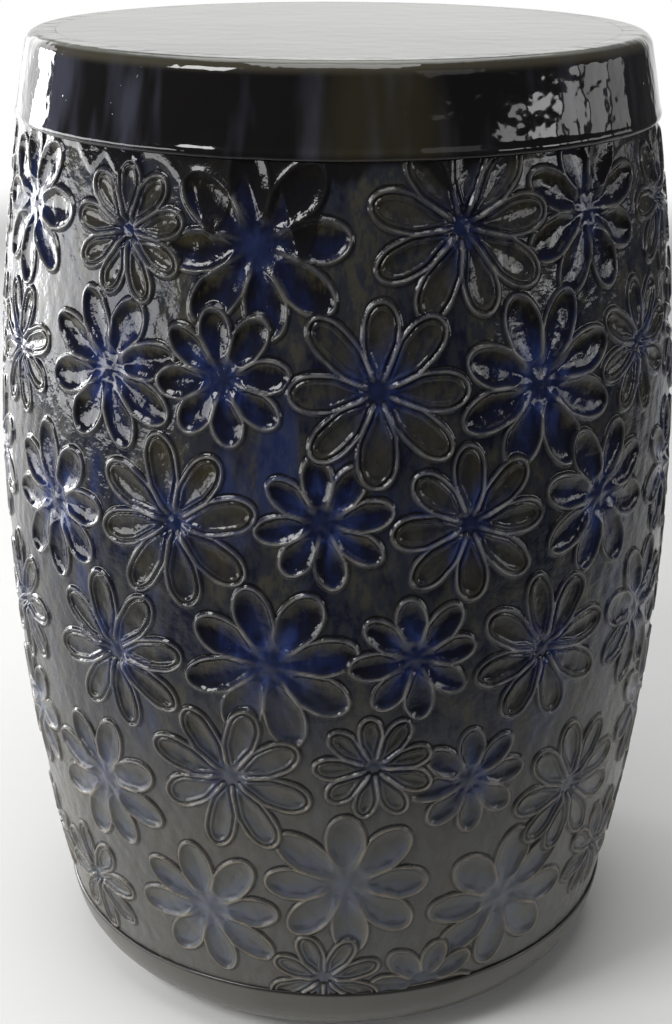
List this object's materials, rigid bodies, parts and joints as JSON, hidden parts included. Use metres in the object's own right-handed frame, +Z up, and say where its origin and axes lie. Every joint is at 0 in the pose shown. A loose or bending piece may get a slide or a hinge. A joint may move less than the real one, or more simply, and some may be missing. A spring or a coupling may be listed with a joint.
{
  "type": "ceramic garden stool",
  "caption": "Barrel-shaped glazed ceramic garden stool with a flat round seat, plain collar, all-over pressed daisy relief and plain rounded foot.",
  "frame": {"origin": "on the floor, under the middle of the stool", "axes": "+Z up along the barrel's axis, -Y towards the front of the flower pattern, +X to the right seen from the front"},
  "size_m": [0.3266, 0.3266, 0.46],
  "materials": {
    "seat_glaze": "glossy grey-olive glaze",
    "collar_glaze": "glossy near-black brown glaze with faint blue runs",
    "relief_glaze": "glossy flowing glaze, black-brown above, cobalt pools in the middle, grey-olive below",
    "foot_glaze": "satin grey-olive glaze",
    "bare_clay": "bare fired clay",
    "pad_rubber": "matt soft rubber"
  },
  "bodies": {
    "root": {"seat_slab": "seat_glaze", "rim_band": "collar_glaze", "barrel_wall": "relief_glaze", "foot_ring": "foot_glaze", "floor_slab": "bare_clay", "foot_pads": "pad_rubber"}
  },
  "joints": []
}
